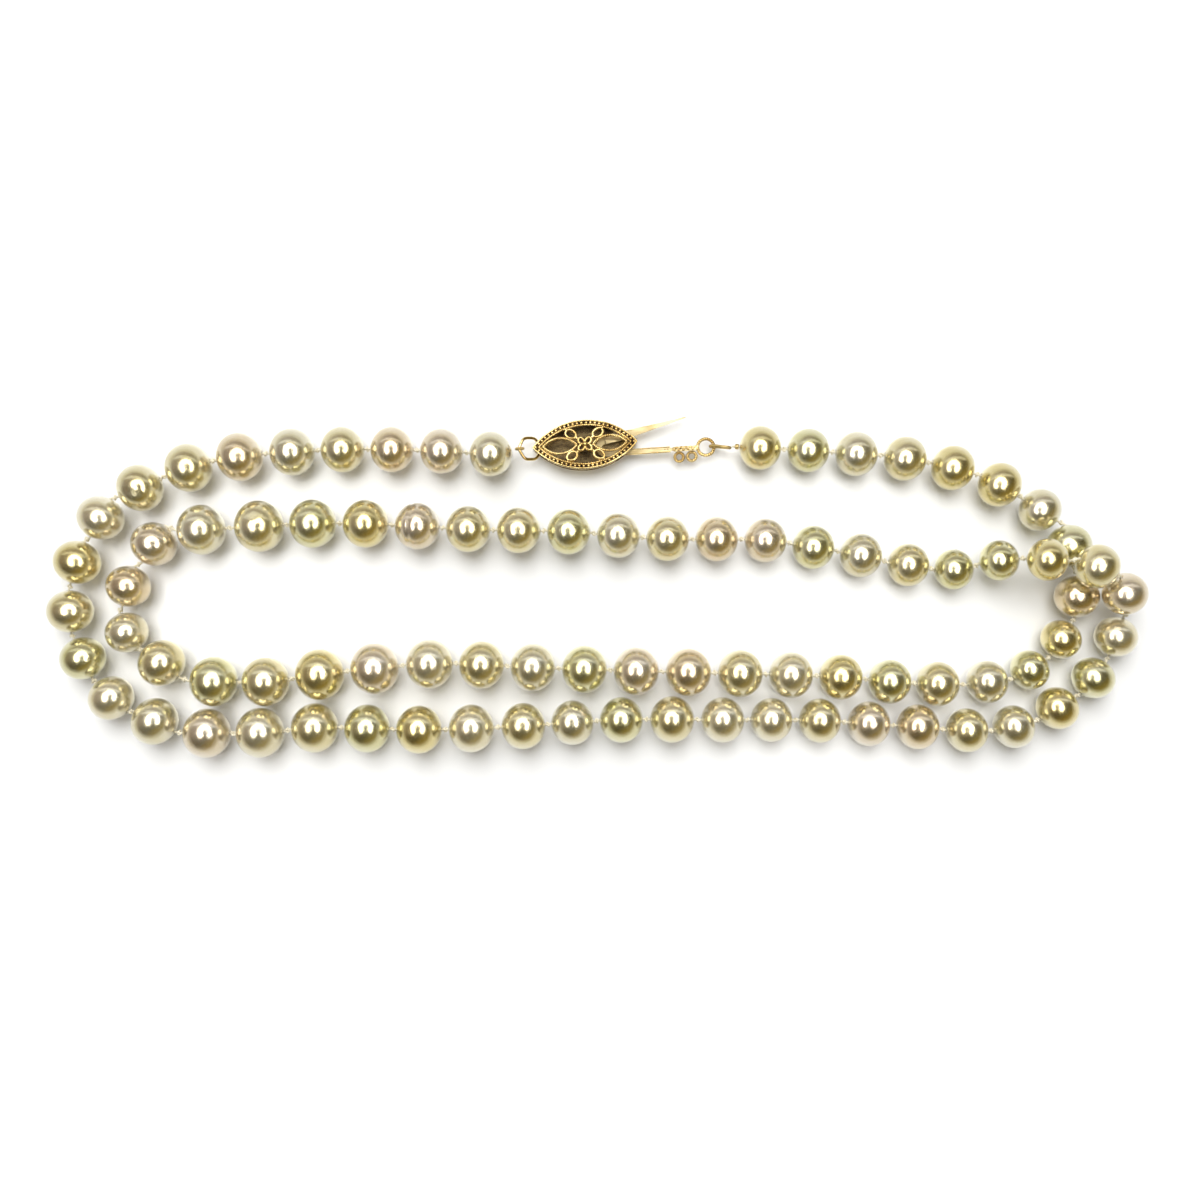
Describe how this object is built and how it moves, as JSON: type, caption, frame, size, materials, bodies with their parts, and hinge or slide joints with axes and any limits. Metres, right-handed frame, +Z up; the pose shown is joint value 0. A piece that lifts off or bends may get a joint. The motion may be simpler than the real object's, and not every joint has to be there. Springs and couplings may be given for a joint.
{
  "type": "pearl necklace",
  "caption": "Knotted strand of small ivory pearls with a gold navette filigree fish-hook clasp, lying folded in a double loop.",
  "frame": {"origin": "on the table, under the middle of the folded strand", "axes": "+X along the folded strand, towards the end where it crosses itself; +Y towards the run that carries the clasp; +Z up from the table"},
  "size_m": [0.1246, 0.0392, 0.0093],
  "materials": {
    "pearl": "gloss",
    "silk": "matte",
    "gold": "polished",
    "gimp": "satin"
  },
  "bodies": {
    "strand": {"pearl_15_16": "pearl", "pearl_17_18": "pearl", "pearl_19_20": "pearl", "pearl_21_22": "pearl", "pearl_23_24": "pearl", "pearl_25_26": "pearl", "pearl_27_28": "pearl", "pearl_41_42": "pearl", "pearl_43_44": "pearl", "pearl_45_46": "pearl", "pearl_47_48": "pearl", "pearl_49_50": "pearl", "pearl_51_52": "pearl", "pearl_53_54": "pearl", "pearl_59_60": "pearl", "pearl_61_62": "pearl", "pearl_63_64": "pearl", "pearl_65_66": "pearl", "pearl_67_68": "pearl", "pearl_69_70": "pearl", "pearl_71_72": "pearl", "pearl_73_74": "pearl", "pearl_75_76": "pearl", "pearl_77_78": "pearl", "silk_cord": "silk"},
    "left_bend": {"pearl_09_10": "pearl", "pearl_11_12": "pearl", "pearl_13_14": "pearl"},
    "right_bend": {"pearl_29_30": "pearl", "pearl_31_32": "pearl", "pearl_33_34": "pearl", "pearl_35_36": "pearl", "pearl_37_38": "pearl", "pearl_39_40": "pearl"},
    "inner_bend": {"pearl_55_56": "pearl", "pearl_57_58": "pearl"},
    "clasp_side": {"pearl_01_02": "pearl", "pearl_03_04": "pearl", "pearl_05_06": "pearl", "pearl_07_08": "pearl", "pearl_79_80": "pearl", "pearl_81_82": "pearl", "clasp_back_plate": "gold", "clasp_wall_north": "gold", "clasp_wall_south": "gold", "clasp_ring_post": "gold", "clasp_hook_post": "gold", "clasp_filigree_cover": "gold", "clasp_flower": "gold", "gimp_left": "gimp"},
    "hook_run": {"pearl_83_84": "pearl", "pearl_85": "pearl", "hook_strip": "gold", "hook_thumb_tab": "gold", "hook_coil_inner": "gold", "hook_coil_outer": "gold", "hook_end_ring": "gold", "gimp_right": "gimp"},
    "spring_arm": {"hook_spring_arm": "gold"},
    "jump_ring": {"jump_ring": "gold"}
  },
  "joints": [
    {"name": "left_bend_lift", "type": "hinge", "parent": "strand", "child": "left_bend", "pos_m": [-0.05466, 0.01017, 0.00266], "axis": [-0.2638, 0.9645, -0.0059], "range_deg": [0, 35], "deforming": ["silk_cord"]},
    {"name": "right_bend_lift", "type": "hinge", "parent": "strand", "child": "right_bend", "pos_m": [0.03428, -0.01587, 0.00261], "axis": [0.0509, -0.9987, 0.0032], "range_deg": [0, 30], "deforming": ["silk_cord"]},
    {"name": "inner_bend_lift", "type": "hinge", "parent": "strand", "child": "inner_bend", "pos_m": [-0.04818, 0.00663, 0.00277], "axis": [-0.0855, 0.9963, -0.0061], "range_deg": [0, 35], "deforming": ["silk_cord"]},
    {"name": "clasp_side_lift", "type": "hinge", "parent": "strand", "child": "clasp_side", "pos_m": [-0.05466, 0.01017, 0.00266], "axis": [0.9996, -0.0266, -0.0015], "range_deg": [0, 30], "deforming": ["silk_cord"]},
    {"name": "clasp_closing", "type": "slide", "parent": "clasp_side", "child": "hook_run", "axis": [-0.9978, -0.0663, 0], "range_m": [0, 0.0038], "deforming": ["silk_cord"]},
    {"name": "spring_arm_squeeze", "type": "hinge", "parent": "hook_run", "child": "spring_arm", "pos_m": [0.00129, 0.01678, 0.0012], "axis": [0, 0, -1], "range_deg": [0, 9], "stiffness_Nm_per_rad": 0.0001},
    {"name": "jump_ring_swing", "type": "hinge", "parent": "clasp_side", "child": "jump_ring", "pos_m": [-0.00732, 0.01589, 0.00155], "axis": [-0.9043, -0.0601, 0.4226], "range_deg": [-20, 20]}
  ],
  "couplings": [
    {"joint": "spring_arm_squeeze", "follows": "clasp_closing", "rad_per_m": 39.04}
  ]
}
